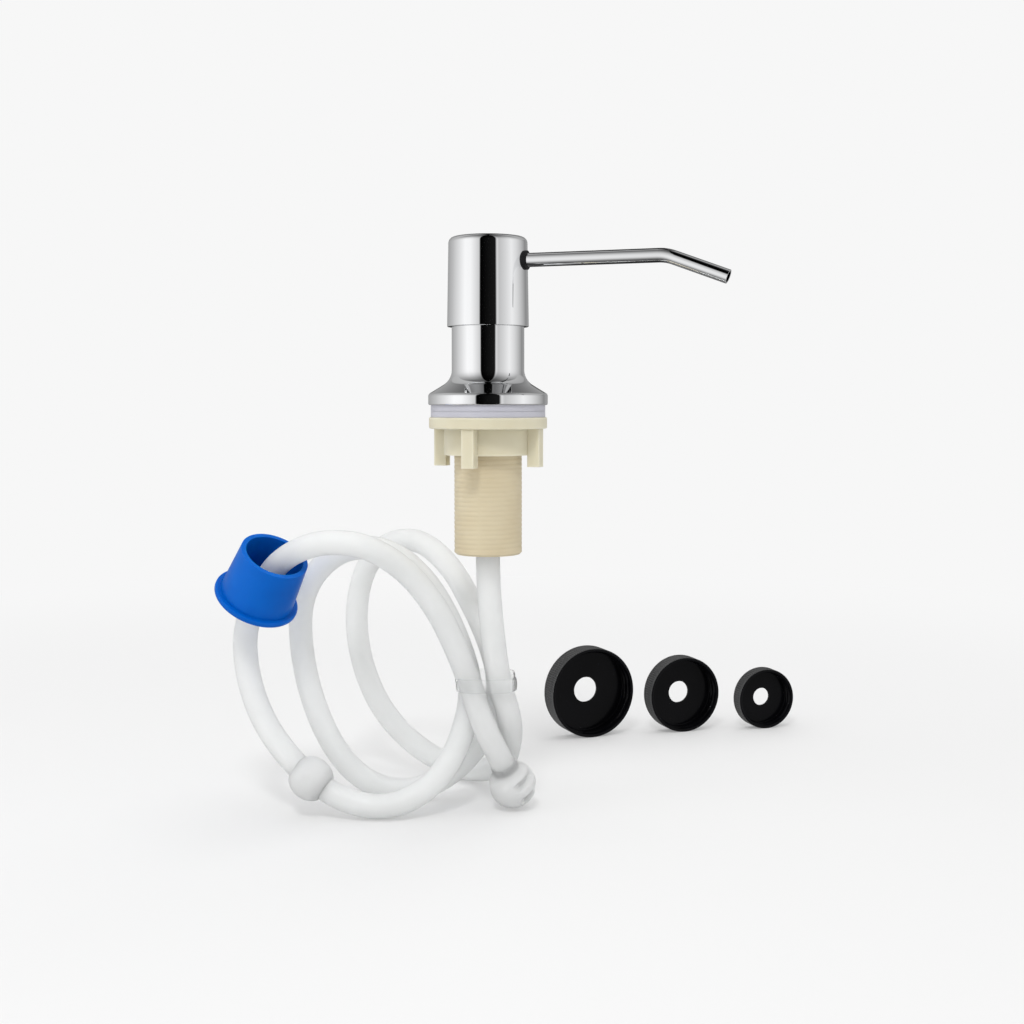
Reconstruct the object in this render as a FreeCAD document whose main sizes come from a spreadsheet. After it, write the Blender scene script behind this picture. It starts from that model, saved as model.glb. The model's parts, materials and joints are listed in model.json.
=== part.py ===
import FreeCAD, Part
import math
import os

import Sketcher

# Deck-mounted soap pump with an extension tube, a bottle stopper and three bottle caps.
# Millimetres. +Z is up along the pump's axis, and the spout points along +X at rest.
# The origin is on the pump's axis, at the deck's top face, under the upper gasket.
# The pump is held by its deck mount, so the tube and the caps lie below the origin.

V = FreeCAD.Vector

DIMENSIONS = {
    # Chrome collar, cream shank and what clamps them to the deck
    "gasket_height": "2.4",
    "gasket_radius": "22.3",
    "collar_height": "35.6",
    "rim_radius": "23.25",
    "rim_height": "4.16",
    "cone_height": "9.8",
    "rim_round": "1.4",
    "rim_foot_round": "0.6",
    "flare_radius": "6.8",
    "neck_radius": "14.1",
    "neck_round": "0.4",
    "shank_radius": "13.2",
    "shank_bore": "10.4",
    "shank_bottom": "-55.7",
    "shank_height": "87.7",
    "shank_chamfer": "0.8",
    "ring_bore": "13.26",
    "washer_bottom": "-2.33",
    "washer_height": "2.3",
    "nut_top": "-2.36",
    "nut_ring_radius": "23",
    "nut_ring_height": "4.4",
    "nut_round": "0.6",
    "hub_radius": "17.2",
    "hub_height": "14.6",
    "leg_reach": "21.9",
    "leg_height": "19.1",
    "leg_thickness": "4.8",
    "leg_count": "4",
    # Pump mechanism inside the collar and shank
    "seal_bottom": "32",
    "seal_height": "1",
    "seal_bore": "9.6",
    "flange_radius": "12.6",
    "cylinder_bottom": "-46",
    "cylinder_height": "81",
    "cylinder_flange_height": "2",
    "barrel_radius": "9.4",
    "barrel_bore": "7.5",
    "barrel_outer_foot": "29",
    "barrel_floor": "30",
    "chamber_bore": "3",
    "chamber_seat": "25",
    "inlet_bore": "1.6",
    "inlet_top": "23",
    "shoulder_radius": "5.2",
    "shoulder_top": "24",
    "shoulder_bottom": "14",
    "nipple_radius": "3.2",
    "closure_bottom": "35",
    "closure_radius": "13.1",
    "closure_height": "3",
    "guide_bottom": "30",
    "guide_radius": "5.5",
    "guide_height": "8.8",
    "guide_flange_radius": "6.8",
    "guide_flange_foot": "8",
    "guide_bore": "4.05",
    "stem_bottom": "13",
    "stem_height": "44.5",
    "stem_radius": "4",
    "stem_bore": "2.2",
    "stem_seat_foot": "2",
    "stem_seat_top": "3.4",
    "stem_inlet": "1.2",
    "piston_height": "8",
    "piston_radius": "7.1",
    "groove_radius": "5.6",
    "groove_foot": "2.5",
    "groove_top": "5.5",
    "piston_seal_radius": "7.45",
    "piston_seal_bottom": "15.5",
    "piston_seal_height": "3",
    "spring_bottom": "-15.45",
    "spring_turns": "7",
    "spring_height": "27.9",
    "spring_radius": "6.2",
    "spring_wire_radius": "0.45",
    "suction_ball_radius": "2.5",
    "suction_ball_height": "-20.8",
    "outlet_ball_radius": "1.8",
    "outlet_ball_height": "16.5",
    # Press head
    "button_bottom": "32.7",
    "button_height": "34.6",
    "button_foot_radius": "15.87",
    "button_top_radius": "15.3",
    "button_bore": "14.6",
    "button_ceiling": "32.6",
    "button_round": "2.3",
    "button_lip_round": "0.3",
    "core_bottom": "54.2",
    "core_height": "11.1",
    "core_socket_depth": "3.4",
    "core_passage_depth": "7",
    "core_passage_bore": "2.1",
    "spout_height": "58",
    "spout_root": "4.6",
    "spout_straight": "68.1",
    "spout_bend_radius": "16",
    "spout_reach": "94",
    "spout_drop": "8.7",
    "spout_radius": "2.7",
    "spout_bore": "2.1",
    "spout_seal_radius": "3.7",
    "spout_seal_start": "14.6",
    "spout_seal_length": "1.7",
    # Extension tube and what is on it
    "coil_turn": "20",
    "tube_radius": "4.75",
    "tube_socket_radius": "3.2",
    "tube_socket_depth": "14",
    "band_bottom": "-108.8",
    "band_height": "5.6",
    "band_across": "-0.95",
    "band_width": "24.4",
    "band_corner": "6.1",
    "band_wall": "0.9",
    "joiner_along": "0.68",
    "joiner_length": "13.6",
    "joiner_radius": "5.9",
    "joiner_ring_radius": "8.4",
    "joiner_ring_start": "2.5",
    "joiner_ring_length": "8.6",
    "joiner_round": "2.4",
    "valve_neck_radius": "5.7",
    "valve_neck_depth": "3.6",
    "valve_length": "13",
    "valve_radius": "9.2",
    "valve_shoulder": "3.6",
    "valve_chamber": "5.6",
    "valve_seat_start": "10.5",
    "valve_seat_height": "2.5",
    "valve_seat_bore": "1.8",
    "valve_chamber_start": "5.2",
    "valve_round": "2.9",
    "strainer_length": "6.2",
    "strainer_side": "2",
    "strainer_flat": "4.2",
    "strainer_round": "3.5",
    "strainer_slot": "1.1",
    "strainer_slot_count": "6",
    "strainer_slot_reach": "6.4",
    "strainer_core": "1.8",
    "valve_ball_radius": "2.6",
    "valve_ball_along": "8.5",
    "stopper_along": "0.58",
    "stopper_height": "22.4",
    "stopper_flange_radius": "16.85",
    "stopper_flange_height": "2.2",
    "stopper_foot_radius": "14.7",
    "stopper_rim_radius": "13.4",
    "stopper_wall": "1.9",
    "stopper_floor": "2.6",
    "stopper_hole": "5.3",
    "stopper_round": "0.8",
    # Bottle caps, which stand on their rims on the surface that the coil stands on
    "floor_level": "-157.1",
    "cap_wall": "1.5",
    "cap_base": "1.6",
    "cap_round": "0.6",
    "large_cap_radius": "21.4",
    "large_cap_height": "10.3",
    "large_cap_hole": "6.1",
    "large_cap_along": "46.4",
    "large_cap_away": "121.5",
    "large_cap_turn": "22.5",
    "medium_cap_radius": "18.2",
    "medium_cap_height": "8.8",
    "medium_cap_hole": "5.3",
    "medium_cap_along": "92.2",
    "medium_cap_away": "132",
    "medium_cap_turn": "19",
    "small_cap_radius": "14.65",
    "small_cap_height": "7.1",
    "small_cap_hole": "4.35",
    "small_cap_along": "133.5",
    "small_cap_away": "138.3",
    "small_cap_turn": "17",
}
CAP_SIZES = ("large", "medium", "small")

# Route of the extension tube, in the coil's own axes: along the coil, away from it, and up.
# It drops from the pump, passes the band four times and makes three standing loops.
ROUTE = (
    # Down from the pump to the band
    (0, 0, -32), (-0.3, 0, -50), (0.2, -1, -70), (1.9, -3.2, -89), (4.6, -4.8, -107),
    # Far loop
    (8.9, -1.4, -121.1), (8.6, 12, -135.2), (5, 28, -148), (-10, 41.5, -153.2),
    (-29.6, 52.3, -147.5), (-46.2, 59.5, -133.3), (-55.9, 63, -114.2), (-59.6, 64, -92.7),
    (-56.5, 62.5, -71.7), (-47, 56.2, -58), (-31, 45.5, -53.6), (-16.5, 32, -63.4),
    (-7.2, 18.5, -77.5), (0.4, 7.6, -91.7), (4.6, 4.8, -107),
    # Middle loop
    (1.4, 9, -122.5), (-6.5, 13, -138.2), (-20, 11.6, -149.7), (-35.5, 9.2, -153.2),
    (-51.5, 9.5, -147.8), (-64, 13, -133.8), (-72.6, 17, -114.7), (-76.9, 20.5, -95.1),
    (-76.7, 20.8, -77), (-69, 18.6, -62.9), (-55.5, 14, -54.1), (-38.5, 10.2, -55.5),
    (-24.5, 8.8, -67.3), (-14, 7, -85.4), (-6.5, 4.8, -107),
    # Near loop, with the joiner low on it and the stopper high on it
    (-8.4, 2.2, -122.5), (-14.5, -5.2, -137.2), (-25.5, -10.5, -148.2), (-40.5, -13, -153.2),
    (-57.6, -12, -149.4), (-73.6, -8.5, -138.7), (-87.9, -1.5, -123), (-95.7, 4.5, -104.9),
    (-97.1, 6, -85.4), (-86.2, -4.5, -63.8), (-75, -10.5, -53.6), (-60.5, -13.8, -49.2),
    (-45, -13, -51.6), (-31, -8.5, -61.4), (-20, -5.2, -76.1), (-12.5, -4.8, -91.7),
    (-6.5, -4.8, -107),
    # Down to the foot valve
    (-2.2, -7.2, -121), (3.85, -4, -134.1), (7.15, -1.3, -141.6),
)
JOINER_RUN = 39
STOPPER_RUN = 43
ARC_SHARE = 0.45
SPRING_STEPS = 12
NEAR = 1e-3

doc = FreeCAD.newDocument("soap_pump")
sheet = doc.addObject("Spreadsheet::Sheet", "dims")
for row, (alias, number) in enumerate(DIMENSIONS.items(), 1):
    sheet.set("A%d" % row, alias)
    sheet.set("B%d" % row, number)
    sheet.setAlias("B%d" % row, alias)
doc.recompute()
nodes = []


def value(text):
    """The number that a sum of cells and plain numbers stands for, such as rim_height + 2."""
    total = 0.0
    sign = 1
    for word in text.split():
        if word in ("+", "-"):
            sign = -1 if word == "-" else 1
        elif word[0].isdigit():
            total += sign * float(word)
        else:
            total += sign * sheet.get(word)
    return total


def cells(text):
    """The same sum as an expression on the sheet."""
    words = [word if word in ("+", "-") or word[0].isdigit() else "dims." + word for word in text.split()]
    return " ".join(words)


def bind(thing, path, text):
    thing.setExpression(path, cells(text))


def part_body(name, height=None):
    """A PartDesign body for one node, lifted to a height from the sheet."""
    body = doc.addObject("PartDesign::Body", name)
    body.Label = name
    if height:
        body.Placement = FreeCAD.Placement(V(0, 0, value(height)), FreeCAD.Rotation())
        bind(body, "Placement.Base.z", height)
    nodes.append(body)
    return body


def place(node, point, direction):
    """Puts a node's own origin at a point, with its +Z along a direction."""
    node.Placement = FreeCAD.Placement(point, FreeCAD.Rotation(V(0, 0, 1), direction))


def origin_part(body, role):
    for feature in body.Origin.OriginFeatures:
        if feature.Role == role:
            return feature
    raise ValueError(role)


def new_sketch(body, name, role, offset=None):
    """An empty sketch on one of the body's own planes, moved along its normal by a cell."""
    sketch = body.newObject("Sketcher::SketchObject", name)
    sketch.AttachmentSupport = [(origin_part(body, role), "")]
    sketch.MapMode = "FlatFace"
    if offset:
        sketch.AttachmentOffset = FreeCAD.Placement(V(0, 0, value(offset)), FreeCAD.Rotation())
        bind(sketch, "AttachmentOffset.Base.z", offset)
    return sketch


def pin(sketch, item, end, across, up):
    """Holds one point of a sketch at distances from its origin."""
    for kind, axis, text in (("DistanceX", -2, across), ("DistanceY", -1, up)):
        if text == "0":
            sketch.addConstraint(Sketcher.Constraint("PointOnObject", item, end, axis))
            continue
        index = sketch.addConstraint(Sketcher.Constraint(kind, -1, 1, item, end, value(text)))
        bind(sketch, "Constraints[%d]" % index, text)


def draw_outline(sketch, points):
    """A closed outline of straight sides through points, each a pair of sums of cells."""
    corners = [V(value(across), value(up), 0) for across, up in points]
    count = len(corners)
    first = sketch.GeometryCount
    for number, corner in enumerate(corners):
        sketch.addGeometry(Part.LineSegment(corner, corners[(number + 1) % count]), False)
    for number in range(count):
        following = first + (number + 1) % count
        sketch.addConstraint(Sketcher.Constraint("Coincident", first + number, 2, following, 1))
    for number, (across, up) in enumerate(points):
        pin(sketch, first + number, 1, across, up)


def draw_circle(sketch, radius, across="0", up="0"):
    centre = V(value(across), value(up), 0)
    index = sketch.addGeometry(Part.Circle(centre, V(0, 0, 1), value(radius)), False)
    pin(sketch, index, 3, across, up)
    size = sketch.addConstraint(Sketcher.Constraint("Radius", index, value(radius)))
    bind(sketch, "Constraints[%d]" % size, radius)


def turned(body, points):
    """A ring or disc turned about the body's Z axis from half of its section."""
    sketch = new_sketch(body, body.Name + "_section", "XZ_Plane")
    draw_outline(sketch, points)
    solid = body.newObject("PartDesign::Revolution", body.Name + "_turned")
    solid.Profile = sketch
    solid.ReferenceAxis = (sketch, ["V_Axis"])
    solid.Angle = 360
    body.Tip = solid
    doc.recompute()
    return solid


def ring(body, bore, radius, height):
    return turned(body, [(bore, "0"), (radius, "0"), (radius, height), (bore, height)])


def pad(body, sketch, length, reversed_side=False):
    solid = body.newObject("PartDesign::Pad", sketch.Name + "_pad")
    solid.Profile = sketch
    solid.Length = value(length)
    bind(solid, "Length", length)
    solid.Reversed = reversed_side
    body.Tip = solid
    doc.recompute()
    return solid


def pocket(body, sketch, length, reversed_side=False):
    """Cuts a sketch into the body, and checks that it took material away."""
    before = body.Tip.Shape.Volume
    cut = body.newObject("PartDesign::Pocket", sketch.Name + "_pocket")
    cut.Profile = sketch
    cut.Length = value(length)
    bind(cut, "Length", length)
    cut.Reversed = reversed_side
    body.Tip = cut
    doc.recompute()
    if cut.Shape.Volume > before - NEAR:
        raise ValueError(cut.Name + " cuts nothing")
    return cut


def circles(feature, radius, height):
    """Names of the feature's round edges of one radius at one height."""
    names = []
    for number, edge in enumerate(feature.Shape.Edges, 1):
        curve = edge.Curve
        if not isinstance(curve, Part.Circle):
            continue
        if abs(curve.Radius - value(radius)) < NEAR and abs(curve.Center.z - value(height)) < NEAR:
            names.append("Edge%d" % number)
    if not names:
        raise ValueError("%s has no edge of radius %s at %s" % (feature.Name, radius, height))
    return names


def rounded(body, edges, size):
    """Rounds circular edges of the body, given as pairs of radius and height."""
    base = body.Tip
    names = [name for radius, height in edges for name in circles(base, radius, height)]
    fillet = body.newObject("PartDesign::Fillet", "%s_round_%d" % (body.Name, len(body.Group)))
    fillet.Base = (base, names)
    fillet.Radius = value(size)
    bind(fillet, "Radius", size)
    body.Tip = fillet
    doc.recompute()
    return fillet


def chamfered(body, edges, size):
    base = body.Tip
    names = [name for radius, height in edges for name in circles(base, radius, height)]
    chamfer = body.newObject("PartDesign::Chamfer", body.Name + "_chamfer")
    chamfer.Base = (base, names)
    chamfer.Size = value(size)
    bind(chamfer, "Size", size)
    body.Tip = chamfer
    doc.recompute()
    return chamfer


def repeated(body, feature, count):
    """Repeats a feature evenly about the body's Z axis."""
    pattern = body.newObject("PartDesign::PolarPattern", feature.Name + "_pattern")
    pattern.Originals = [feature]
    pattern.Axis = (origin_part(body, "Z_Axis"), [""])
    pattern.Angle = 360
    pattern.Occurrences = int(value(count))
    bind(pattern, "Occurrences", count)
    body.Tip = pattern
    doc.recompute()
    return pattern


def smooth_path(points):
    """Straight runs joined by tangent arcs, each as large as its two runs allow."""
    edges = []
    reached = points[0]
    for before, corner, after in zip(points, points[1:], points[2:]):
        back = (before - corner).normalize()
        onward = (after - corner).normalize()
        turn = math.pi - back.getAngle(onward)
        share = ARC_SHARE * min((before - corner).Length, (after - corner).Length)
        radius = share / math.tan(turn / 2)
        start = corner + back * share
        end = corner + onward * share
        top = corner + (back + onward).normalize() * (math.hypot(radius, share) - radius)
        edges.append(Part.LineSegment(reached, start).toShape())
        edges.append(Part.Arc(start, top, end).toShape())
        reached = end
    edges.append(Part.LineSegment(reached, points[-1]).toShape())
    return Part.Wire(edges)


def swept_rod(points, radius):
    path = smooth_path(points)
    section = Part.Wire([Part.makeCircle(radius, points[0], points[1] - points[0])])
    return path.makePipeShell([section], True, True), path


def add_feature(name, shape, placement):
    """A node whose shape is set directly, and placed after that."""
    feature = doc.addObject("Part::Feature", name)
    feature.Label = name
    feature.Shape = shape
    feature.Placement = placement
    nodes.append(feature)


# Deck side: collar, shank, gaskets and nut


def make_collar():
    body = part_body("collar", "gasket_height")
    turned(body, [
        ("shank_radius", "0"), ("rim_radius", "0"), ("rim_radius", "rim_height"),
        ("neck_radius", "cone_height"), ("neck_radius", "collar_height"),
        ("shank_radius", "collar_height"),
    ])
    rounded(body, [("neck_radius", "cone_height")], "flare_radius")
    rounded(body, [("rim_radius", "rim_height")], "rim_round")
    rounded(body, [("rim_radius", "0")], "rim_foot_round")
    rounded(body, [("neck_radius", "collar_height")], "neck_round")


def make_shank():
    body = part_body("shank", "shank_bottom")
    ring(body, "shank_bore", "shank_radius", "shank_height")
    chamfered(body, [("shank_radius", "0")], "shank_chamfer")


def make_deck_gasket():
    body = part_body("deck_gasket")
    ring(body, "ring_bore", "gasket_radius", "gasket_height")


def make_nut_washer():
    body = part_body("nut_washer", "washer_bottom")
    ring(body, "ring_bore", "gasket_radius", "washer_height")


def make_lock_nut():
    """Ring and hub turned upside down, with four legs that hang from the ring."""
    body = part_body("lock_nut")
    body.Placement = FreeCAD.Placement(V(0, 0, value("nut_top")), FreeCAD.Rotation(V(1, 0, 0), 180))
    bind(body, "Placement.Base.z", "nut_top")
    turned(body, [
        ("ring_bore", "0"), ("nut_ring_radius", "0"), ("nut_ring_radius", "nut_ring_height"),
        ("hub_radius", "nut_ring_height"), ("hub_radius", "hub_height"), ("ring_bore", "hub_height"),
    ])
    rounded(body, [("nut_ring_radius", "0"), ("nut_ring_radius", "nut_ring_height")], "nut_round")
    sketch = new_sketch(body, "leg_section", "XY_Plane", "nut_ring_height - 1")
    inner = "hub_radius - 0.2"
    half = value("leg_thickness") / 2
    corners = [V(value(inner), -half, 0), V(value("leg_reach"), -half, 0)]
    corners += [V(value("leg_reach"), half, 0), V(value(inner), half, 0)]
    for number, corner in enumerate(corners):
        sketch.addGeometry(Part.LineSegment(corner, corners[(number + 1) % 4]), False)
    for number in range(4):
        sketch.addConstraint(Sketcher.Constraint("Coincident", number, 2, (number + 1) % 4, 1))
    sketch.addConstraint(Sketcher.Constraint("Horizontal", 0))
    sketch.addConstraint(Sketcher.Constraint("Horizontal", 2))
    sketch.addConstraint(Sketcher.Constraint("Vertical", 3))
    sketch.addConstraint(Sketcher.Constraint("Symmetric", 1, 1, 1, 2, -1))
    distances = (("DistanceX", -1, 1, 0, 1, inner), ("DistanceX", -1, 1, 1, 1, "leg_reach"),
                 ("DistanceY", 1, 1, 1, 2, "leg_thickness"))
    for kind, item, end, other, other_end, text in distances:
        index = sketch.addConstraint(Sketcher.Constraint(kind, item, end, other, other_end, value(text)))
        bind(sketch, "Constraints[%d]" % index, text)
    leg = pad(body, sketch, "leg_height - nut_ring_height + 1")
    repeated(body, leg, "leg_count")


# Pump mechanism


def make_cylinder_gasket():
    body = part_body("cylinder_gasket", "seal_bottom")
    ring(body, "seal_bore", "flange_radius", "seal_height")


def make_pump_cylinder():
    body = part_body("pump_cylinder", "cylinder_bottom")
    flange_foot = "cylinder_height - cylinder_flange_height"
    turned(body, [
        ("inlet_bore", "0"), ("nipple_radius", "0"), ("nipple_radius", "shoulder_bottom"),
        ("shoulder_radius", "shoulder_bottom"), ("shoulder_radius", "shoulder_top"),
        ("barrel_radius", "barrel_outer_foot"), ("barrel_radius", flange_foot),
        ("flange_radius", flange_foot), ("flange_radius", "cylinder_height"),
        ("barrel_bore", "cylinder_height"), ("barrel_bore", "barrel_floor"),
        ("chamber_bore", "barrel_floor"), ("chamber_bore", "chamber_seat"),
        ("inlet_bore", "inlet_top"),
    ])


def make_cylinder_closure():
    body = part_body("cylinder_closure", "closure_bottom")
    ring(body, "guide_radius", "closure_radius", "closure_height")


def make_stem_guide():
    body = part_body("stem_guide", "guide_bottom")
    turned(body, [
        ("guide_bore", "0"), ("guide_radius", "0"), ("guide_radius", "guide_flange_foot"),
        ("guide_flange_radius", "guide_flange_foot"), ("guide_flange_radius", "guide_height"),
        ("guide_bore", "guide_height"),
    ])


def make_stem():
    body = part_body("stem", "stem_bottom")
    turned(body, [
        ("stem_inlet", "0"), ("stem_radius", "0"), ("stem_radius", "stem_height"),
        ("stem_bore", "stem_height"), ("stem_bore", "stem_seat_top"), ("stem_inlet", "stem_seat_foot"),
    ])


def make_piston():
    body = part_body("piston", "stem_bottom")
    turned(body, [
        ("stem_radius", "0"), ("piston_radius", "0"), ("piston_radius", "groove_foot"),
        ("groove_radius", "groove_foot"), ("groove_radius", "groove_top"),
        ("piston_radius", "groove_top"), ("piston_radius", "piston_height"),
        ("stem_radius", "piston_height"),
    ])


def make_piston_seal():
    body = part_body("piston_seal", "piston_seal_bottom")
    ring(body, "groove_radius", "piston_seal_radius", "piston_seal_height")


def make_pump_spring():
    """Compression spring: a round wire swept along a helix of short runs and arcs."""
    points = []
    steps = int(value("spring_turns") * SPRING_STEPS)
    for step in range(steps + 1):
        angle = 2 * math.pi * step / SPRING_STEPS
        across = value("spring_radius")
        points.append(V(across * math.cos(angle), across * math.sin(angle), value("spring_height") * step / steps))
    rod, path = swept_rod(points, value("spring_wire_radius"))
    print("spring wire length %.1f" % path.Length)
    add_feature("pump_spring", rod, FreeCAD.Placement(V(0, 0, value("spring_bottom")), FreeCAD.Rotation()))


def make_ball(name, radius, height):
    ball = doc.addObject("Part::Sphere", name)
    ball.Label = name
    bind(ball, "Radius", radius)
    ball.Placement = FreeCAD.Placement(V(0, 0, value(height)), FreeCAD.Rotation())
    bind(ball, "Placement.Base.z", height)
    nodes.append(ball)
    return ball


# Press head


def make_press_button():
    body = part_body("press_button", "button_bottom")
    turned(body, [
        ("0", "button_ceiling"), ("button_bore", "button_ceiling"), ("button_bore", "0"),
        ("button_foot_radius", "0"), ("button_top_radius", "button_height"), ("0", "button_height"),
    ])
    rounded(body, [("button_top_radius", "button_height")], "button_round")
    rounded(body, [("button_foot_radius", "0")], "button_lip_round")
    hole = new_sketch(body, "spout_hole", "YZ_Plane")
    draw_circle(hole, "spout_seal_radius", "0", "spout_height - button_bottom")
    pocket(body, hole, "rim_radius", True)


def make_head_core():
    body = part_body("head_core", "core_bottom")
    turned(body, [
        ("guide_bore", "0"), ("button_bore", "0"), ("button_bore", "core_height"), ("0", "core_height"),
        ("0", "core_passage_depth"), ("core_passage_bore", "core_passage_depth"),
        ("core_passage_bore", "core_socket_depth"), ("guide_bore", "core_socket_depth"),
    ])
    hole = new_sketch(body, "spout_socket", "YZ_Plane", "spout_root")
    draw_circle(hole, "spout_radius", "0", "spout_height - core_bottom")
    pocket(body, hole, "rim_radius", True)
    passage = new_sketch(body, "outlet_passage", "YZ_Plane")
    draw_circle(passage, "core_passage_bore", "0", "spout_height - core_bottom")
    pocket(body, passage, "spout_root", True)


def make_spout():
    """Thin tube with one bend. The body hangs upside down, so its drop is positive."""
    body = part_body("spout")
    body.Placement = FreeCAD.Placement(V(0, 0, value("spout_height")), FreeCAD.Rotation(V(1, 0, 0), 180))
    bind(body, "Placement.Base.z", "spout_height")
    run = value("spout_reach") - value("spout_straight")
    drop = value("spout_drop")
    radius = value("spout_bend_radius")
    chord = math.hypot(run, radius - drop)
    slope = math.asin(radius / chord) - math.atan2(radius - drop, run)
    centre = V(value("spout_straight"), radius, 0)
    bend_end = V(centre.x + radius * math.sin(slope), radius - radius * math.cos(slope), 0)
    path = new_sketch(body, "spout_path", "XZ_Plane")
    path.addGeometry(Part.LineSegment(V(value("spout_root"), 0, 0), V(centre.x, 0, 0)), False)
    bend = Part.ArcOfCircle(Part.Circle(centre, V(0, 0, 1), radius), -math.pi / 2, slope - math.pi / 2)
    path.addGeometry(bend, False)
    path.addGeometry(Part.LineSegment(bend_end, V(value("spout_reach"), drop, 0)), False)
    pin(path, 0, 1, "spout_root", "0")
    pin(path, 0, 2, "spout_straight", "0")
    pin(path, 2, 2, "spout_reach", "spout_drop")
    path.addConstraint(Sketcher.Constraint("Tangent", 0, 2, 1, 1))
    path.addConstraint(Sketcher.Constraint("Tangent", 1, 2, 2, 1))
    size = path.addConstraint(Sketcher.Constraint("Radius", 1, radius))
    bind(path, "Constraints[%d]" % size, "spout_bend_radius")
    section = new_sketch(body, "spout_section", "YZ_Plane", "spout_root")
    draw_circle(section, "spout_radius")
    draw_circle(section, "spout_bore")
    pipe = body.newObject("PartDesign::AdditivePipe", "spout_pipe")
    pipe.Profile = section
    pipe.Spine = (path, [])
    body.Tip = pipe
    doc.recompute()


def make_spout_seal():
    body = part_body("spout_seal", "spout_height")
    sketch = new_sketch(body, "seal_section", "YZ_Plane", "spout_seal_start")
    draw_circle(sketch, "spout_seal_radius")
    draw_circle(sketch, "spout_radius")
    pad(body, sketch, "spout_seal_length")


# Extension tube


def coil_place():
    return FreeCAD.Placement(V(0, 0, 0), FreeCAD.Rotation(V(0, 0, 1), value("coil_turn")))


def route_run(number, share):
    """The point a share of the way along one run of the route, and the run's direction."""
    start = coil_place().multVec(V(*ROUTE[number]))
    end = coil_place().multVec(V(*ROUTE[number + 1]))
    return start + (end - start) * share, (end - start).normalize()


def make_supply_tube():
    """One swept rod along the route, bored only where the pump's nipple goes in."""
    rod, path = swept_rod([V(*point) for point in ROUTE], value("tube_radius"))
    expected = math.pi * value("tube_radius") ** 2 * path.Length
    print("tube length %.1f, volume over section x length %.4f" % (path.Length, rod.Volume / expected))
    print("tube radii", " ".join("%.0f" % edge.Curve.Radius for edge in path.Edges[1::2]))
    socket = Part.makeCylinder(value("tube_socket_radius"), value("tube_socket_depth"), V(*ROUTE[0]), V(0, 0, -1))
    add_feature("supply_tube", rod.cut(socket), coil_place())


def upright_edges(feature, low, high):
    """Names of the feature's upright edges at the four corners of a square of the plan."""
    corners = [(x, y) for x in (low, high) for y in (low, high)]
    names = []
    for number, edge in enumerate(feature.Shape.Edges, 1):
        spot = edge.CenterOfMass
        gaps = [math.hypot(spot.x - x, spot.y - y) for x, y in corners]
        if isinstance(edge.Curve, Part.Line) and min(gaps) < NEAR:
            names.append("Edge%d" % number)
    return names


def round_uprights(body, low, high, size):
    base = body.Tip
    fillet = body.newObject("PartDesign::Fillet", "%s_round_%d" % (body.Name, len(body.Group)))
    fillet.Base = (base, upright_edges(base, value(low), value(high)))
    fillet.Radius = value(size)
    bind(fillet, "Radius", size)
    body.Tip = fillet
    doc.recompute()


def make_tube_band():
    """A flat band round the four strands: a square ring with round corners."""
    body = part_body("tube_band")
    far = "band_width - band_wall"
    outside = new_sketch(body, "band_outside", "XY_Plane")
    draw_outline(outside, [("0", "0"), ("band_width", "0"), ("band_width", "band_width"), ("0", "band_width")])
    pad(body, outside, "band_height")
    inside = new_sketch(body, "band_inside", "XY_Plane")
    draw_outline(inside, [("band_wall", "band_wall"), (far, "band_wall"), (far, far), ("band_wall", far)])
    pocket(body, inside, "band_height", True)
    round_uprights(body, "0", "band_width", "band_corner")
    round_uprights(body, "band_wall", far, "band_corner - band_wall")
    half = value("band_width") / 2
    corner = V(value("band_across") - half, -half, value("band_bottom"))
    body.Placement = coil_place() * FreeCAD.Placement(corner, FreeCAD.Rotation())


def make_tube_joiner():
    """A sleeve on the tube with a raised round ring about its middle."""
    body = part_body("tube_joiner")
    ring_end = "joiner_ring_start + joiner_ring_length"
    turned(body, [
        ("tube_radius", "0"), ("joiner_radius", "0"), ("joiner_radius", "joiner_ring_start"),
        ("joiner_ring_radius", "joiner_ring_start"), ("joiner_ring_radius", ring_end),
        ("joiner_radius", ring_end), ("joiner_radius", "joiner_length"), ("tube_radius", "joiner_length"),
    ])
    rounded(body, [("joiner_ring_radius", "joiner_ring_start"), ("joiner_ring_radius", ring_end)], "joiner_round")
    middle, direction = route_run(JOINER_RUN, value("joiner_along"))
    place(body, middle - direction * (value("joiner_length") / 2), direction)


def valve_axis():
    """The tube's far end and its direction, which the foot valve follows."""
    return route_run(len(ROUTE) - 2, 1.0)


def make_foot_valve_body():
    body = part_body("foot_valve_body")
    turned(body, [
        ("tube_radius", "0"), ("valve_neck_radius", "0"), ("valve_neck_radius", "valve_shoulder"),
        ("valve_radius", "valve_shoulder"), ("valve_radius", "valve_length"),
        ("valve_chamber", "valve_length"), ("valve_chamber", "valve_chamber_start"),
        ("inlet_bore", "valve_neck_depth"), ("tube_radius", "valve_neck_depth"),
    ])
    rounded(body, [("valve_radius", "valve_shoulder")], "valve_round")
    end, direction = valve_axis()
    place(body, end - direction * value("valve_neck_depth"), direction)


def make_foot_valve_strainer():
    """The valve's rounded end, with a ring of slots round a solid middle."""
    body = part_body("foot_valve_strainer")
    turned(body, [
        ("0", "0"), ("valve_radius", "0"), ("valve_radius", "strainer_side"),
        ("strainer_flat", "strainer_length"), ("0", "strainer_length"),
    ])
    rounded(body, [("valve_radius", "strainer_side"), ("strainer_flat", "strainer_length")], "strainer_round")
    slot = new_sketch(body, "slot_section", "XY_Plane")
    width = "strainer_slot"
    draw_outline(slot, [
        ("strainer_core", "0"), ("strainer_slot_reach", "0"),
        ("strainer_slot_reach", width), ("strainer_core", width),
    ])
    cut = pocket(body, slot, "strainer_length + 1", True)
    repeated(body, cut, "strainer_slot_count")
    end, direction = valve_axis()
    place(body, end + direction * (value("valve_length") - value("valve_neck_depth")), direction)


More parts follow.
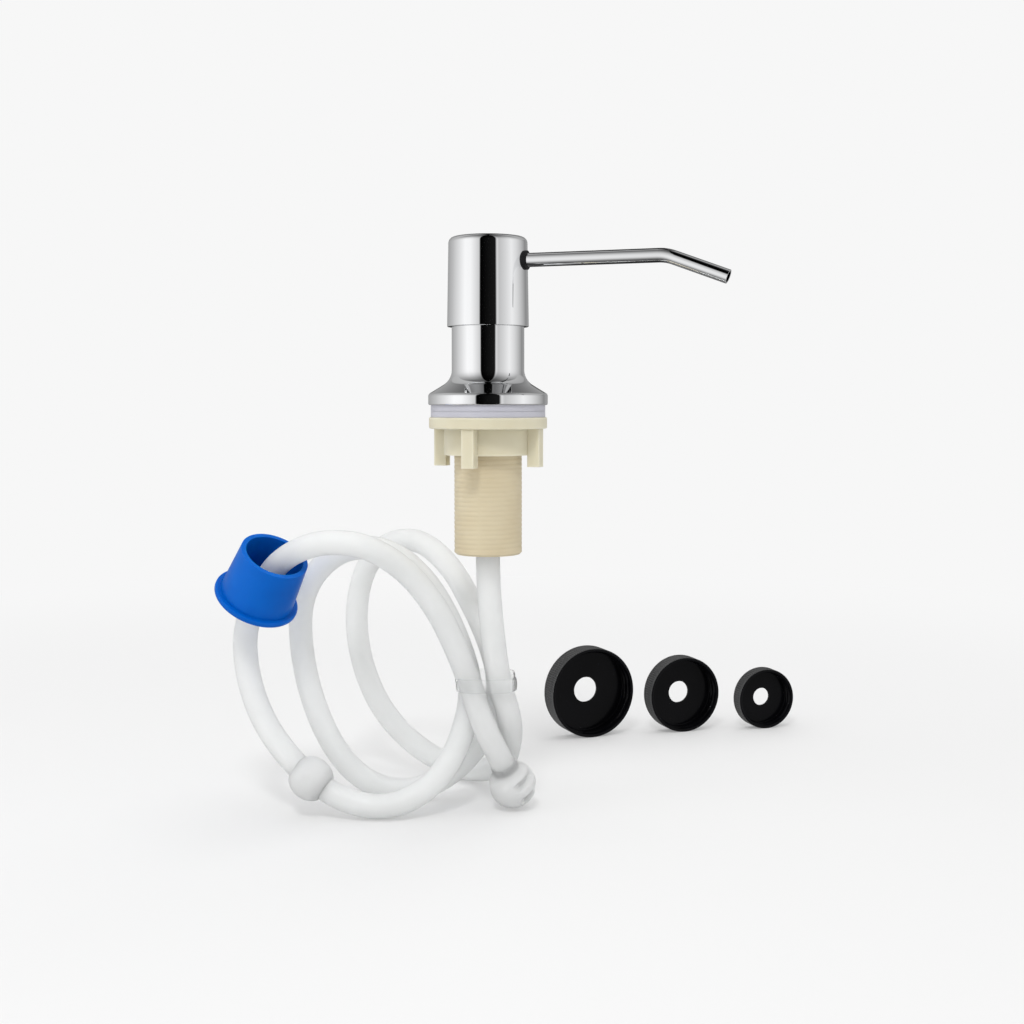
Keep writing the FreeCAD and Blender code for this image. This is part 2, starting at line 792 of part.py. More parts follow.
def make_foot_valve_seat():
    body = part_body("foot_valve_seat")
    ring(body, "valve_seat_bore", "valve_chamber", "valve_seat_height")
    end, direction = valve_axis()
    place(body, end + direction * (value("valve_seat_start") - value("valve_neck_depth")), direction)


def make_foot_valve_ball():
    ball = doc.addObject("Part::Sphere", "foot_valve_ball")
    ball.Label = "foot_valve_ball"
    bind(ball, "Radius", "valve_ball_radius")
    end, direction = valve_axis()
    place(ball, end + direction * (value("valve_ball_along") - value("valve_neck_depth")), direction)
    nodes.append(ball)


def make_bottle_stopper():
    """A tapered cup with a flange round its closed end, and a hole there for the tube."""
    body = part_body("bottle_stopper")
    turned(body, [
        ("stopper_hole", "0"), ("stopper_flange_radius", "0"),
        ("stopper_flange_radius", "stopper_flange_height"), ("stopper_foot_radius", "stopper_flange_height"),
        ("stopper_rim_radius", "stopper_height"), ("stopper_rim_radius - stopper_wall", "stopper_height"),
        ("stopper_foot_radius - stopper_wall", "stopper_floor"), ("stopper_hole", "stopper_floor"),
    ])
    rounded(body, [("stopper_flange_radius", "0"), ("stopper_flange_radius", "stopper_flange_height")],
            "stopper_round")
    start, direction = route_run(STOPPER_RUN, value("stopper_along"))
    place(body, start - direction * (value("stopper_floor") / 2), direction)


# Bottle caps


def make_bottle_cap(size):
    """A screw cap with a hole, which stands on its rim with its open side towards the front."""
    body = part_body(size + "_bottle_cap")
    radius = size + "_cap_radius"
    height = size + "_cap_height"
    hole = size + "_cap_hole"
    turned(body, [
        (hole, "0"), (radius, "0"), (radius, height), (radius + " - cap_wall", height),
        (radius + " - cap_wall", "cap_base"), (hole, "cap_base"),
    ])
    rounded(body, [(radius, "0")], "cap_round")
    turn = math.radians(value(size + "_cap_turn"))
    stand = V(value(size + "_cap_along"), value(size + "_cap_away"), value("floor_level") + value(radius))
    facing = coil_place().multVec(V(math.sin(turn), -math.cos(turn), 0))
    place(body, coil_place().multVec(stand) - facing * (value(height) / 2), facing)


def build():
    make_collar()
    make_shank()
    make_deck_gasket()
    make_nut_washer()
    make_lock_nut()
    make_cylinder_gasket()
    make_pump_cylinder()
    make_cylinder_closure()
    make_stem_guide()
    make_stem()
    make_piston()
    make_piston_seal()
    make_pump_spring()
    make_ball("suction_ball", "suction_ball_radius", "suction_ball_height")
    make_ball("outlet_ball", "outlet_ball_radius", "outlet_ball_height")
    make_press_button()
    make_head_core()
    make_spout()
    make_spout_seal()
    make_supply_tube()
    make_tube_band()
    make_tube_joiner()
    make_foot_valve_body()
    make_foot_valve_strainer()
    make_foot_valve_seat()
    make_foot_valve_ball()
    make_bottle_stopper()
    for size in CAP_SIZES:
        make_bottle_cap(size)
    doc.recompute()


def check_and_write():
    """Stops if anything failed, and then writes one file for each node."""
    for thing in doc.Objects:
        if "Invalid" in thing.State or "Error" in thing.State:
            raise ValueError("%s failed" % thing.Name)
    for node in nodes:
        if node.Shape.isNull() or not node.Shape.isValid():
            raise ValueError("%s has no valid shape" % node.Label)
    os.makedirs("parts", exist_ok=True)
    for node in nodes:
        node.Shape.exportStep("parts/%s.step" % node.Label)
        print("%-22s %9.1f mm3, %d solid" % (node.Label, node.Shape.Volume, len(node.Shape.Solids)))


build()
check_and_write()
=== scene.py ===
import json
import math

import bmesh
import bpy
from mathutils import Matrix, Vector, noise


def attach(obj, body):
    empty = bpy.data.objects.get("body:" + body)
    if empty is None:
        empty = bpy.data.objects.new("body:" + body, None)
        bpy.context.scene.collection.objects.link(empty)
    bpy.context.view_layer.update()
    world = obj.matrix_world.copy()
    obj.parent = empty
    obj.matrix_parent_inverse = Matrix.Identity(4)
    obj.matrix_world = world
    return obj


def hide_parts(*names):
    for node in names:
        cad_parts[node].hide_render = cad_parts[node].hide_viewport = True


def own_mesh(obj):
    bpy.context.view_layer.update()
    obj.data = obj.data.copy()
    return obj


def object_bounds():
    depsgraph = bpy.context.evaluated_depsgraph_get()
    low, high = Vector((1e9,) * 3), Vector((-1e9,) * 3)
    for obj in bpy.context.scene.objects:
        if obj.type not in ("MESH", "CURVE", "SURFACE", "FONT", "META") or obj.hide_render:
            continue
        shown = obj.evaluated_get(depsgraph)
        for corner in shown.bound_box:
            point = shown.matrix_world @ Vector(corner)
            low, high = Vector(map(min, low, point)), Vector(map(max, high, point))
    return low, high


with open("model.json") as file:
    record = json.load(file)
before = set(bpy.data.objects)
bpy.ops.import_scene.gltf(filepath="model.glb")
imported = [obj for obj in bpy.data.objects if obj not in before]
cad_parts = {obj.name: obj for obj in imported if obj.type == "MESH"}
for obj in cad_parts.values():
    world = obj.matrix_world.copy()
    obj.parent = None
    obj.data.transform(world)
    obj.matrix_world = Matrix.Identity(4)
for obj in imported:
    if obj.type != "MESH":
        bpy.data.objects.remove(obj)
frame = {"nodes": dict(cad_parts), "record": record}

# Deck-mounted soap pump with its extension tube, stopper, foot valve and three bottle caps.
# Metres. The pump's axis is Z, the spout points along +X, and the deck's top is at Z = 0.
# The coil, the caps and the camera are set out in coil axes: along, away and up. Those are
# the row's axes turned by COIL_TURN about Z, so that the camera looks along "away".

CAD_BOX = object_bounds()
NODES = frame["nodes"]
FLOOR = CAD_BOX[0].z
MOUNTS = {mount["name"]: mount for mount in frame["record"]["mounts"]}
COIL_TURN = math.radians(20)
MM = 0.001
NEAR = 1e-7              # lengths this close count as the same


def coil(along, away, up):
    """A point given in coil axes, in the row's frame."""
    turned = Matrix.Rotation(COIL_TURN, 3, "Z") @ Vector((along, away, 0.0))
    return Vector((turned.x, turned.y, up))


# Camera

CAMERA_SPOT = (0.00933, -0.5389, 0.00403)
CAMERA_PITCH = math.radians(2.488)
CAMERA_LENS = 48.58
CAMERA_SHIFT = -0.05
SENSOR_WIDTH = 36
NEAREST = 0.01
FARTHEST = 50


def make_camera():
    data = bpy.data.cameras.new("camera")
    data.lens = CAMERA_LENS
    data.sensor_width = SENSOR_WIDTH
    data.shift_y = CAMERA_SHIFT
    data.clip_start = NEAREST
    data.clip_end = FARTHEST
    camera = bpy.data.objects.new("camera", data)
    camera.location = coil(*CAMERA_SPOT)
    camera.rotation_euler = (math.pi / 2 - CAMERA_PITCH, 0, COIL_TURN)
    bpy.context.scene.collection.objects.link(camera)
    bpy.context.scene.camera = camera


# Materials. Noise scales are in repeats per metre.

HAZE_SCALE = 90
BRUSH_SCALE = 2600
BRUSH_STRETCH = (1, 1, 6)
BLOTCH_SCALE = 45
GRAIN_SCALE = 1400
GRAIN_HEIGHT = 0.006 * MM
BRUSH_HEIGHT = 0.004 * MM
SATIN_SPREAD = 0.06
BLOTCH_RANGE = (0.35, 0.65)


def new_material(name, **values):
    """A Principled material. Each value is set on the shader's own socket."""
    material = bpy.data.materials.new(name)
    material.use_nodes = True
    shader = material.node_tree.nodes["Principled BSDF"]
    for key, value in values.items():
        shader.inputs[key.replace("_", " ")].default_value = value
    return material


def link_noise(material, scale, detail=3.0, stretch=(1, 1, 1)):
    """A noise in the piece's own space, which is the row's frame."""
    tree = material.node_tree
    place = tree.nodes.new("ShaderNodeTexCoord")
    mapping = tree.nodes.new("ShaderNodeMapping")
    mapping.inputs["Scale"].default_value = stretch
    texture = tree.nodes.new("ShaderNodeTexNoise")
    texture.inputs["Scale"].default_value = scale
    texture.inputs["Detail"].default_value = detail
    tree.links.new(place.outputs["Object"], mapping.inputs["Vector"])
    tree.links.new(mapping.outputs["Vector"], texture.inputs["Vector"])
    return texture


def vary_colour(material, texture, dark, light):
    """The base colour wanders between two near colours."""
    tree = material.node_tree
    ramp = tree.nodes.new("ShaderNodeValToRGB")
    for element, position, colour in zip(ramp.color_ramp.elements, BLOTCH_RANGE, (dark, light)):
        element.position = position
        element.color = (*colour, 1)
    tree.links.new(texture.outputs["Fac"], ramp.inputs["Fac"])
    tree.links.new(ramp.outputs["Color"], tree.nodes["Principled BSDF"].inputs["Base Color"])


def vary_roughness(material, texture, low, high):
    tree = material.node_tree
    spread = tree.nodes.new("ShaderNodeMapRange")
    spread.inputs["To Min"].default_value = low
    spread.inputs["To Max"].default_value = high
    tree.links.new(texture.outputs["Fac"], spread.inputs["Value"])
    tree.links.new(spread.outputs["Result"], tree.nodes["Principled BSDF"].inputs["Roughness"])


def add_bump(material, texture, height):
    """Fine relief. Height is in metres."""
    tree = material.node_tree
    bump = tree.nodes.new("ShaderNodeBump")
    bump.inputs["Strength"].default_value = 1.0
    bump.inputs["Distance"].default_value = height
    tree.links.new(texture.outputs["Fac"], bump.inputs["Height"])
    tree.links.new(bump.outputs["Normal"], tree.nodes["Principled BSDF"].inputs["Normal"])


def chrome():
    """Polished chrome plate, with a trace of haze from handling."""
    material = new_material("chrome", Metallic=1.0, Base_Color=(0.93, 0.935, 0.945, 1))
    vary_roughness(material, link_noise(material, HAZE_SCALE, 4.0), 0.012, 0.04)
    return material


def brushed_steel():
    """Spring steel, with fine marks that run across the pump's axis."""
    material = new_material("steel", Metallic=1.0, Base_Color=(0.66, 0.66, 0.68, 1))
    grain = link_noise(material, BRUSH_SCALE, 3.0, BRUSH_STRETCH)
    vary_roughness(material, grain, 0.18, 0.34)
    add_bump(material, grain, BRUSH_HEIGHT)
    return material


def moulded_plastic(name, dark, light, rough, glow=0.0, reach=MM, shine=0.5, through=0.0, bend=1.5):
    """Moulded plastic: a slow change of colour, a satin skin with fine grain, and light let in.

    glow is the share of light that scatters below the skin, as deep as reach. shine is how much
    the skin mirrors. through is the share that goes through, and bend is the index of refraction.
    """
    material = new_material(
        name, Subsurface_Weight=glow, Subsurface_Scale=reach, Specular_IOR_Level=shine,
        Transmission_Weight=through, IOR=bend,
    )
    shader = material.node_tree.nodes["Principled BSDF"]
    shader.inputs["Subsurface Radius"].default_value = (1, 1, 1)
    vary_colour(material, link_noise(material, BLOTCH_SCALE), dark, light)
    skin = link_noise(material, GRAIN_SCALE, 4.0)
    vary_roughness(material, skin, rough - SATIN_SPREAD, rough + SATIN_SPREAD)
    add_bump(material, skin, GRAIN_HEIGHT)
    return material


# Each plastic: its name, the two near colours that it wanders between, its roughness, and how
# its skin and body take light.
PLASTICS = (
    ("cream_abs", (0.67, 0.625, 0.475), (0.71, 0.67, 0.52), 0.45,
     dict(glow=0.7, reach=3 * MM, shine=0.3)),
    ("cream_shank", (0.625, 0.535, 0.365), (0.67, 0.59, 0.42), 0.45,
     dict(glow=0.3, reach=2 * MM, shine=0.35)),
    ("pale_gasket", (0.515, 0.515, 0.575), (0.56, 0.56, 0.62), 0.45,
     dict(glow=0.5, reach=2 * MM, shine=0.35)),
    ("black_rubber", (0.006, 0.006, 0.006), (0.013, 0.013, 0.014), 0.6,
     dict(shine=0.2)),
    ("white_plastic", (0.78, 0.78, 0.77), (0.84, 0.84, 0.83), 0.38,
     dict(glow=0.2)),
    ("silicone_tube", (0.86, 0.87, 0.865), (0.91, 0.92, 0.915), 0.45,
     dict(glow=1.0, reach=7 * MM, shine=0.25, through=0.35)),
    ("clear_band", (0.96, 0.965, 0.965), (0.98, 0.985, 0.985), 0.22,
     dict(glow=1.0, reach=6 * MM, shine=0.3, through=0.9, bend=1.18)),
    ("milky_plastic", (0.85, 0.86, 0.855), (0.90, 0.91, 0.905), 0.42,
     dict(glow=1.0, reach=6 * MM, shine=0.25, through=0.3)),
    ("blue_plastic", (0.0, 0.10, 0.47), (0.0, 0.125, 0.56), 0.36,
     dict(glow=0.3, reach=2 * MM, shine=0.13)),
    ("black_plastic", (0.0015, 0.0015, 0.002), (0.003, 0.003, 0.004), 0.17,
     dict(shine=0.10)),
    # Lighter black for the caps' outside: its lighter colour is painted sheen on the grip and a painted
    # highlight along the lip's bevel.
    ("black_ribbed", (0.045, 0.045, 0.046), (0.062, 0.062, 0.063), 0.32, {}),
)


def make_materials():
    made = {"chrome": chrome(), "steel": brushed_steel()}
    for name, dark, light, rough, light_in in PLASTICS:
        made[name] = moulded_plastic(name, dark, light, rough, **light_in)
    return made


MATERIALS = make_materials()


def paint_cad_nodes():
    """Every CAD node keeps its record slot and gets the detailed material of that name."""
    for node in NODES.values():
        for slot in node.material_slots:
            slot.material = MATERIALS[slot.material.name.split(".")[0]]


# Mesh helpers

CREASE = math.radians(35)


def mesh_piece(name, verts, faces, slot, body, replaced, place=None):
    """A closed mesh piece in the row's frame. Edges sharper than CREASE stay sharp."""
    mesh = bpy.data.meshes.new(name)
    mesh.from_pydata([tuple(v) for v in verts], [], faces)
    if place is not None:
        mesh.transform(place)
    work = bmesh.new()
    work.from_mesh(mesh)
    bmesh.ops.recalc_face_normals(work, faces=work.faces)
    for face in work.faces:
        face.smooth = True
    for edge in work.edges:
        edge.smooth = edge.calc_face_angle(0.0) < CREASE
    work.to_mesh(mesh)
    work.free()
    mesh.materials.append(MATERIALS[slot])
    piece = bpy.data.objects.new(name, mesh)
    bpy.context.scene.collection.objects.link(piece)
    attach(piece, body)
    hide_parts(*replaced)
    return piece


def grid_faces(rows, columns, rows_wrap=True):
    """Four-sided faces of a grid of vertices. Columns wrap round, and so may rows."""
    faces = []
    for row in range(rows if rows_wrap else rows - 1):
        here = row * columns
        there = (row + 1) % rows * columns
        for column in range(columns):
            after = (column + 1) % columns
            faces.append((here + column, here + after, there + after, there + column))
    return faces


def turned_mesh(outline, segments, shape):
    """Vertices and faces of a closed outline of (radius, height) turned about Z.

    shape(radius, height, angle) gives each point's own radius.
    """
    verts = []
    for radius, height in outline:
        for step in range(segments):
            angle = 2 * math.pi * step / segments
            across = shape(radius, height, angle)
            verts.append((across * math.cos(angle), across * math.sin(angle), height))
    return verts, grid_faces(len(outline), segments)


def arc(centre, radius, start, end, steps):
    """Points of an arc in an outline, as (radius, height). Angles are in degrees from outwards."""
    points = []
    for step in range(steps + 1):
        angle = math.radians(start + (end - start) * step / steps)
        points.append((centre[0] + radius * math.cos(angle), centre[1] + radius * math.sin(angle)))
    return points


def along_axis(origin, axis):
    """The placement that takes Z to axis and the origin to the given point."""
    turn = Vector((0, 0, 1)).rotation_difference(Vector(axis)).to_matrix().to_4x4()
    return Matrix.Translation(Vector(origin)) @ turn


# Supply tube

TUBE_RADIUS = 4.75 * MM
TUBE_SIDES = 7
TUBE_STEPS = 8

# The route in coil axes. It leaves the pump's nipple, makes three standing loops that meet at
# the tie band, and ends in the foot valve.
ROUTE = (
    (0, 0, -0.032), (-0.0003, 0, -0.05), (0.0002, -0.001, -0.07), (0.0019, -0.0032, -0.089),
    (0.0046, -0.0048, -0.107), (0.0089, -0.0014, -0.1211), (0.0086, 0.012, -0.1352),
    (0.005, 0.028, -0.148), (-0.01, 0.0415, -0.1532), (-0.0296, 0.0523, -0.1475),
    (-0.0462, 0.0595, -0.1333), (-0.0559, 0.063, -0.1142), (-0.0596, 0.064, -0.0927),
    (-0.0565, 0.0625, -0.0717), (-0.047, 0.0562, -0.058), (-0.031, 0.0455, -0.0536),
    (-0.0165, 0.032, -0.0634), (-0.0072, 0.0185, -0.0775), (0.0004, 0.0076, -0.0917),
    (0.0046, 0.0048, -0.107), (0.0014, 0.009, -0.1225), (-0.0065, 0.013, -0.1382),
    (-0.02, 0.0116, -0.1497), (-0.0355, 0.0092, -0.1532), (-0.0515, 0.0095, -0.1478),
    (-0.064, 0.013, -0.1338), (-0.0726, 0.017, -0.1147), (-0.0769, 0.0205, -0.0951),
    (-0.0767, 0.0208, -0.077), (-0.069, 0.0186, -0.0629), (-0.0555, 0.014, -0.0541),
    (-0.0385, 0.0102, -0.0555), (-0.0245, 0.0088, -0.0673), (-0.014, 0.007, -0.0854),
    (-0.0065, 0.0048, -0.107), (-0.0084, 0.0022, -0.1225), (-0.0145, -0.0052, -0.1372),
    (-0.0255, -0.0105, -0.1482), (-0.0405, -0.013, -0.1532), (-0.0576, -0.012, -0.1494),
    (-0.0736, -0.0085, -0.1387), (-0.0879, -0.0015, -0.123), (-0.0957, 0.0045, -0.1049),
    (-0.0971, 0.006, -0.0854), (-0.0862, -0.0045, -0.0638), (-0.075, -0.0105, -0.0536),
    (-0.0605, -0.0138, -0.0492), (-0.045, -0.013, -0.0516), (-0.031, -0.0085, -0.0614),
    (-0.02, -0.0052, -0.0761), (-0.0125, -0.0048, -0.0917), (-0.0065, -0.0048, -0.107),
    (-0.0022, -0.0072, -0.121), (0.00385, -0.004, -0.1341), (0.00715, -0.0013, -0.1416),
)


def make_supply_tube():
    curve = bpy.data.curves.new("supply_tube_line", "CURVE")
    curve.dimensions = "3D"
    curve.bevel_depth = TUBE_RADIUS
    curve.bevel_resolution = TUBE_SIDES
    curve.use_fill_caps = True
    curve.resolution_u = TUBE_STEPS
    spline = curve.splines.new("NURBS")
    spline.points.add(len(ROUTE) - 1)
    for point, spot in zip(spline.points, ROUTE):
        point.co = (*coil(*spot), 1)
    spline.order_u = 3
    spline.use_endpoint_u = True
    curve.materials.append(MATERIALS["silicone_tube"])
    tube = bpy.data.objects.new("silicone_supply_tube", curve)
    bpy.context.scene.collection.objects.link(tube)
    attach(tube, "base")
    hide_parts("supply_tube")
    return tube


# Shank

SHANK_RADIUS = 13.2 * MM
SHANK_BORE = 10.4 * MM
SHANK_FOOT = -55.7 * MM
SHANK_TOP = 32.0 * MM
SHANK_CHAMFER = 0.8 * MM
THREAD_TOP = -0.2 * MM
THREAD_PITCH = 1.814 * MM
THREAD_DEPTH = 0.13 * MM
THREAD_RUNOUT = 1.2 * MM
ROWS_PER_PITCH = 8
SHANK_SEGMENTS = 120
SEAM_ANGLE = COIL_TURN - math.radians(105)
SEAM_HALF = math.radians(2.6)
SEAM_FLAT = 0.4


def rise(value, low, high):
    """0 below low, 1 above high, and smooth between them."""
    share = min(max((value - low) / (high - low), 0.0), 1.0)
    return share * share * (3 - 2 * share)


def angle_gap(first, second):
    """How far apart two angles are, as 0 to pi."""
    return abs((first - second + math.pi) % (2 * math.pi) - math.pi)


def spaced(start, end, step):
    """Numbers from start to end, about a step apart, both ends among them."""
    count = max(1, round(abs(end - start) / step))
    return [start + (end - start) * number / count for number in range(count + 1)]


def shank_wall(radius, height, angle):
    """A shallow right-hand thread with round crests, flattened along two mould seams."""
    if radius < SHANK_RADIUS - NEAR or height > THREAD_TOP:
        return radius
    turn = height / THREAD_PITCH - angle / (2 * math.pi)
    groove = (0.5 + 0.5 * math.cos(2 * math.pi * turn)) ** 2
    ends = rise(height, SHANK_FOOT + SHANK_CHAMFER, SHANK_FOOT + SHANK_CHAMFER + THREAD_RUNOUT)
    ends *= 1 - rise(height, THREAD_TOP - THREAD_RUNOUT, THREAD_TOP)
    seam = min(angle_gap(angle, SEAM_ANGLE), angle_gap(angle, SEAM_ANGLE + math.pi))
    return radius - THREAD_DEPTH * groove * ends * rise(seam, SEAM_FLAT * SEAM_HALF, SEAM_HALF)


def make_shank():
    levels = spaced(SHANK_FOOT + SHANK_CHAMFER, THREAD_TOP, THREAD_PITCH / ROWS_PER_PITCH)
    outline = [(SHANK_BORE, SHANK_FOOT), (SHANK_RADIUS - SHANK_CHAMFER, SHANK_FOOT)]
    outline += [(SHANK_RADIUS, level) for level in levels]
    outline += [(SHANK_RADIUS, SHANK_TOP), (SHANK_BORE, SHANK_TOP)]
    verts, faces = turned_mesh(outline, SHANK_SEGMENTS, shank_wall)
    shank = mesh_piece("threaded_shank", verts, faces, "cream_abs", "base", ("shank",))
    shank.material_slots[0].material = MATERIALS["cream_shank"]


# Bottle caps

CAP_BASE = 1.6 * MM
CAP_WALL = 1.5 * MM
CAP_ROUND = 0.6 * MM
CAP_LIP = 0.25 * MM
CAP_EDGE = 0.12 * MM
RIB_DEPTH = 0.45 * MM
RIB_START = CAP_ROUND + 0.5 * MM
RIB_STOP = 0.6 * MM
RIB_FADE = 0.5 * MM
RIB_SEGMENTS = 6
RIB_ROW = 0.5 * MM
CAP_THREAD_HEIGHT = 0.75 * MM
CAP_THREAD_HALF = 0.75 * MM
CAP_THREAD_ROW = 0.28 * MM
CAP_THREAD_FADE = 0.12   # of a turn
CAP_THREAD_START = 0.22  # of the depth
CAP_THREAD_SPAN = 0.62   # of the depth
CAP_LAPS = 3
# Each cap's size, number of ribs and thread pitch
CAPS = (("large", 120, 3.6 * MM), ("medium", 102, 3.2 * MM), ("small", 82, 2.6 * MM))


def cap_rib(level, height, angle, ribs):
    """How deep the grip's groove is at a point of the outer wall."""
    ends = rise(level, CAP_ROUND, RIB_START)
    ends *= 1 - rise(level, height - RIB_STOP - RIB_FADE, height - RIB_STOP)
    return RIB_DEPTH * ends * (0.5 - 0.5 * math.cos(ribs * angle))


def cap_thread(level, start, angle, pitch, turns):
    """How far the thread stands in from a point of the inner wall."""
    ridge = 0.0
    for lap in range(CAP_LAPS):
        along = lap + angle / (2 * math.pi)
        gap = (level - start - along * pitch) / CAP_THREAD_HALF
        if abs(gap) < 1 and along < turns:
            ends = rise(along, 0.0, CAP_THREAD_FADE) * (1 - rise(along, turns - CAP_THREAD_FADE, turns))
            ridge = max(ridge, ends * (1 - gap * gap) ** 0.7)
    return CAP_THREAD_HEIGHT * ridge


def make_cap(size, ribs, pitch):
    """A ribbed screw cap with a thread of one and a half turns on its inner wall."""
    thread = MOUNTS[size + "_cap_thread"]
    hole = MOUNTS[size + "_cap_hole"]["dims"]["r_mm"] * MM
    inner = thread["dims"]["r_mm"] * MM
    depth = thread["dims"]["length_mm"] * MM
    outer = inner + CAP_WALL
    height = depth + CAP_BASE
    axis = Vector(thread["axis"])
    foot = Vector(thread["pos_m"]) - axis * (CAP_BASE + depth / 2)
    thread_start = CAP_BASE + CAP_THREAD_START * depth
    turns = CAP_THREAD_SPAN * depth / pitch

    def wall(radius, level, angle):
        if abs(radius - outer) < NEAR:
            return radius - cap_rib(level, height, angle, ribs)
        if abs(radius - inner) < NEAR and CAP_BASE + CAP_LIP < level < height - CAP_LIP:
            return radius - cap_thread(level, thread_start, angle, pitch, turns)
        return radius

    outline = [(hole, CAP_EDGE), (hole + CAP_EDGE, 0.0), (outer - 3 * CAP_ROUND, 0.0)]
    outline += arc((outer - CAP_ROUND, CAP_ROUND), CAP_ROUND, -90, 0, 5)[:-1]
    outline += [(outer, level) for level in spaced(CAP_ROUND, height - CAP_LIP, RIB_ROW)]
    lip = len(outline)
    outline += [(outer - 0.4 * CAP_LIP, height - 0.3 * CAP_LIP), (outer - CAP_LIP, height)]
    outline += [(inner + CAP_LIP, height), (inner + 0.3 * CAP_LIP, height - 0.3 * CAP_LIP)]
    inner_levels = spaced(height - CAP_LIP, CAP_BASE + CAP_ROUND, CAP_THREAD_ROW)
    outline += [(inner, level) for level in inner_levels]
    outline += arc((inner - CAP_ROUND, CAP_BASE + CAP_ROUND), CAP_ROUND, 0, -90, 4)[1:]
    outline += [(hole + CAP_WALL, CAP_BASE), (hole + CAP_EDGE, CAP_BASE), (hole, CAP_BASE - CAP_EDGE)]
    segments = ribs * RIB_SEGMENTS
    verts, faces = turned_mesh(outline, segments, wall)
    cap = mesh_piece(size + "_ribbed_cap", verts, faces, "black_plastic", size + "_cap",
                     (size + "_bottle_cap",), along_axis(foot, axis))
    # The outside up to the lip's bevel takes the lighter black: painted sheen on the grip and a painted
    # highlight along the lip.
    cap.data.materials.append(MATERIALS["black_ribbed"])
    for face in cap.data.polygons[:(lip + 1) * segments]:
        face.material_index = 1


# Pieces on the tube

FRONT = (0.1, -1.0, 0.1)


def route_place(number, share):
    """A point a share of the way along one run of the route, and the run's direction."""
    start = coil(*ROUTE[number])
    end = coil(*ROUTE[number + 1])
    return start.lerp(end, share), (end - start).normalized()


def front_angle(place):
    """The angle about a piece's own Z that faces the front of the coil."""
    front = place.inverted().to_3x3() @ coil(*FRONT)
    return math.atan2(front.y, front.x)


VALVE_RADIUS = 9.2 * MM
VALVE_NECK = 5.6 * MM
VALVE_SOCKET = 3.6 * MM
VALVE_LENGTH = 18.9 * MM
VALVE_HALF = 8.9 * MM
VALVE_BORE = 4.86 * MM
VALVE_EDGE = 0.1 * MM
VALVE_LIP = 0.25 * MM
VALVE_FLARE = (0.5 * MM, 2.2 * MM)
VALVE_SQUARE = 2.15
VALVE_STEPS = 56
VALVE_SEGMENTS = 144
VALVE_FLOW = 1.6 * MM
VALVE_FOOT_HOLE = 1.8 * MM
VALVE_CHAMBER = 4.6 * MM
VALVE_WALL = 2.4 * MM
GROOVE_LEVELS = (7.6 * MM, 14.2 * MM)
GROOVE_HALF = 2.0 * MM
GROOVE_FLOOR = 0.35
GROOVE_DEPTH = 2.3 * MM
GROOVE_FROM = VALVE_NECK + 0.4 * MM
GROOVE_TOP = 3.2 * MM
POST_TURN = math.radians(48)
POST_EDGE = math.radians(38)
POST_FOOT = math.radians(66)


def valve_outline():
    """From the socket for the tube, over the neck and the round body, to the chamber inside."""
    middle = VALVE_LENGTH - VALVE_HALF
    outline = [(VALVE_BORE, VALVE_SOCKET), (VALVE_BORE, 2 * VALVE_EDGE), (VALVE_BORE + VALVE_EDGE, 0.0)]
    outline += [(VALVE_BORE + VALVE_LIP, VALVE_EDGE), (VALVE_BORE + VALVE_FLARE[0], VALVE_FLARE[1])]
    for step in range(1, VALVE_STEPS + 1):
        angle = math.pi * step / VALVE_STEPS
        across = VALVE_RADIUS * math.sin(angle) ** (2 / VALVE_SQUARE)
        along = -math.copysign(abs(math.cos(angle)) ** (2 / VALVE_SQUARE), math.cos(angle))
        if along > 0 and across < VALVE_FOOT_HOLE:
            break
        if across > VALVE_NECK or along > 0:
            outline.append((across, middle + VALVE_HALF * along))
    low = outline[-1][1]
    floor = low - VALVE_WALL
    outline += [(VALVE_FLOW, low - 2 * VALVE_EDGE), (VALVE_FLOW, floor), (VALVE_CHAMBER, floor)]
    outline += [(VALVE_CHAMBER, VALVE_SOCKET + VALVE_FLOW), (VALVE_FLOW, VALVE_SOCKET + VALVE_FLOW / 2)]
    outline.append((VALVE_FLOW, VALVE_SOCKET))
    return outline


def make_foot_valve():
    """A round foot valve with two grooves round it, which two smooth posts cross."""
    end, along = route_place(len(ROUTE) - 2, 1.0)
    place = along_axis(end - along * VALVE_SOCKET, along)
    first_post = front_angle(place) + POST_TURN

    def wall(radius, height, angle):
        if radius < GROOVE_FROM or height < GROOVE_TOP:
            return radius
        post = min(angle_gap(angle, first_post), angle_gap(angle, first_post + math.pi))
        side = rise(post, POST_EDGE, POST_FOOT)
        deep = max(1 - rise(abs(height - level), GROOVE_FLOOR * GROOVE_HALF, GROOVE_HALF)
                   for level in GROOVE_LEVELS)
        return radius - GROOVE_DEPTH * side * deep

    verts, faces = turned_mesh(valve_outline(), VALVE_SEGMENTS, wall)
    return mesh_piece("foot_valve_shell", verts, faces, "milky_plastic", "base",
                      ("foot_valve_body", "foot_valve_strainer"), place)


JOINER_RUN = 39
JOINER_SHARE = 0.68
JOINER_HALF = 7.0 * MM
JOINER_RADIUS = 8.35 * MM
JOINER_END = 4.9 * MM
JOINER_BORE = 4.7 * MM
JOINER_SWELL = 1.5
JOINER_STEPS = 40
JOINER_SEGMENTS = 96
DIMPLE_RADIUS = 1.9 * MM
DIMPLE_DEPTH = 0.35 * MM


